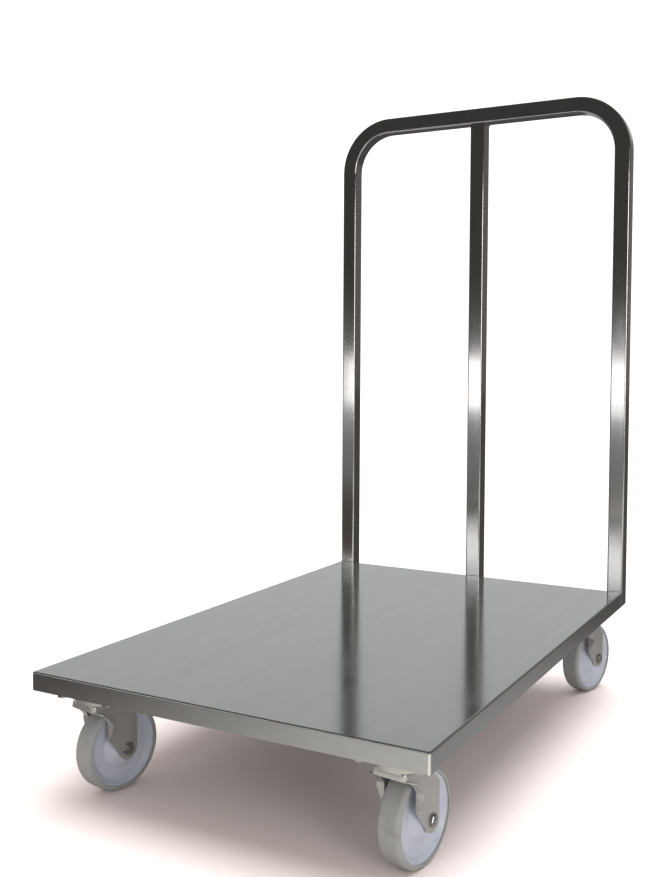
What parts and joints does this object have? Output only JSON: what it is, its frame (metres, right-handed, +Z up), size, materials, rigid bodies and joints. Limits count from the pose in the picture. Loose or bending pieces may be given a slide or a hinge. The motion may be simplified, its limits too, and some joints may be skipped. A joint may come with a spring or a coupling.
{
  "type": "luggage platform cart",
  "caption": "Flat stainless platform with a folded skirt on swivel casters, with a tall bent square-tube push handle and a centre upright at one end.",
  "frame": {"origin": "on the floor, under the middle of the overall length and width", "axes": "+Z up, +Y towards the push handle, +X to the right of someone standing at the open front end and facing the handle"},
  "size_m": [0.6, 0.93, 1.1125],
  "materials": {
    "deck_sheet": "satin stainless sheet, nearly mirror, fine grain along the length",
    "handle_tube": "polished stainless square tube, grain along the tube",
    "polished_weld": "weld bead ground and polished flush",
    "frame_sheet": "plain folded stainless, mill finish",
    "pressed_caster_steel": "pressed stainless, tumbled satin",
    "fastener_steel": "stainless bolts and nuts",
    "ball_steel": "polished balls with grease",
    "wheel_plastic": "pale blue-grey moulded polypropylene",
    "tread_rubber": "non-marking grey tread, slightly dirty",
    "bush_plastic": "dark grey moulded bearing bush"
  },
  "bodies": {
    "root": {"deck_panel": "deck_sheet", "corner_welds": "polished_weld", "front_cross_member": "frame_sheet", "rear_cross_member": "frame_sheet", "deck_stiffeners": "frame_sheet", "handle_frame": "handle_tube", "centre_upright": "handle_tube", "upright_end_caps": "handle_tube", "handle_welds": "polished_weld", "caster_bolts": "fastener_steel", "caster_washers": "fastener_steel", "caster_weld_nuts": "fastener_steel", "front_left_top_plate": "pressed_caster_steel", "front_left_kingpin": "fastener_steel", "front_left_lower_race": "pressed_caster_steel", "front_right_top_plate": "pressed_caster_steel", "front_right_kingpin": "fastener_steel", "front_right_lower_race": "pressed_caster_steel", "rear_left_top_plate": "pressed_caster_steel", "rear_left_kingpin": "fastener_steel", "rear_left_lower_race": "pressed_caster_steel", "rear_right_top_plate": "pressed_caster_steel", "rear_right_kingpin": "fastener_steel", "rear_right_lower_race": "pressed_caster_steel"},
    "front_left_fork": {"front_left_swivel_balls": "ball_steel", "front_left_fork": "pressed_caster_steel", "front_left_axle_bolt": "fastener_steel", "front_left_axle_nut": "fastener_steel", "front_left_axle_sleeve": "fastener_steel"},
    "front_left_wheel": {"front_left_wheel_core": "wheel_plastic", "front_left_tyre": "tread_rubber", "front_left_wheel_bushes": "bush_plastic"},
    "front_right_fork": {"front_right_swivel_balls": "ball_steel", "front_right_fork": "pressed_caster_steel", "front_right_axle_bolt": "fastener_steel", "front_right_axle_nut": "fastener_steel", "front_right_axle_sleeve": "fastener_steel"},
    "front_right_wheel": {"front_right_wheel_core": "wheel_plastic", "front_right_tyre": "tread_rubber", "front_right_wheel_bushes": "bush_plastic"},
    "rear_left_fork": {"rear_left_swivel_balls": "ball_steel", "rear_left_fork": "pressed_caster_steel", "rear_left_axle_bolt": "fastener_steel", "rear_left_axle_nut": "fastener_steel", "rear_left_axle_sleeve": "fastener_steel"},
    "rear_left_wheel": {"rear_left_wheel_core": "wheel_plastic", "rear_left_tyre": "tread_rubber", "rear_left_wheel_bushes": "bush_plastic"},
    "rear_right_fork": {"rear_right_swivel_balls": "ball_steel", "rear_right_fork": "pressed_caster_steel", "rear_right_axle_bolt": "fastener_steel", "rear_right_axle_nut": "fastener_steel", "rear_right_axle_sleeve": "fastener_steel"},
    "rear_right_wheel": {"rear_right_wheel_core": "wheel_plastic", "rear_right_tyre": "tread_rubber", "rear_right_wheel_bushes": "bush_plastic"}
  },
  "joints": [
    {"name": "front_left_swivel", "type": "hinge", "parent": "root", "child": "front_left_fork", "pos_m": [-0.235, -0.401, 0.1405], "axis": [0, 0, 1], "continuous": true},
    {"name": "front_left_roll", "type": "hinge", "parent": "front_left_fork", "child": "front_left_wheel", "pos_m": [-0.22908, -0.37057, 0.0625], "axis": [0.9816, -0.1908, 0], "continuous": true},
    {"name": "front_right_swivel", "type": "hinge", "parent": "root", "child": "front_right_fork", "pos_m": [0.235, -0.401, 0.1405], "axis": [0, 0, 1], "continuous": true},
    {"name": "front_right_roll", "type": "hinge", "parent": "front_right_fork", "child": "front_right_wheel", "pos_m": [0.23931, -0.3703, 0.0625], "axis": [0.9903, -0.1392, 0], "continuous": true},
    {"name": "rear_left_swivel", "type": "hinge", "parent": "root", "child": "rear_left_fork", "pos_m": [-0.235, 0.371, 0.1405], "axis": [0, 0, 1], "continuous": true},
    {"name": "rear_left_roll", "type": "hinge", "parent": "rear_left_fork", "child": "rear_left_wheel", "pos_m": [-0.22803, 0.40121, 0.0625], "axis": [0.9744, -0.225, 0], "continuous": true},
    {"name": "rear_right_swivel", "type": "hinge", "parent": "root", "child": "rear_right_fork", "pos_m": [0.235, 0.371, 0.1405], "axis": [0, 0, 1], "continuous": true},
    {"name": "rear_right_roll", "type": "hinge", "parent": "rear_right_fork", "child": "rear_right_wheel", "pos_m": [0.2425, 0.40108, 0.0625], "axis": [0.9703, -0.2419, 0], "continuous": true}
  ]
}
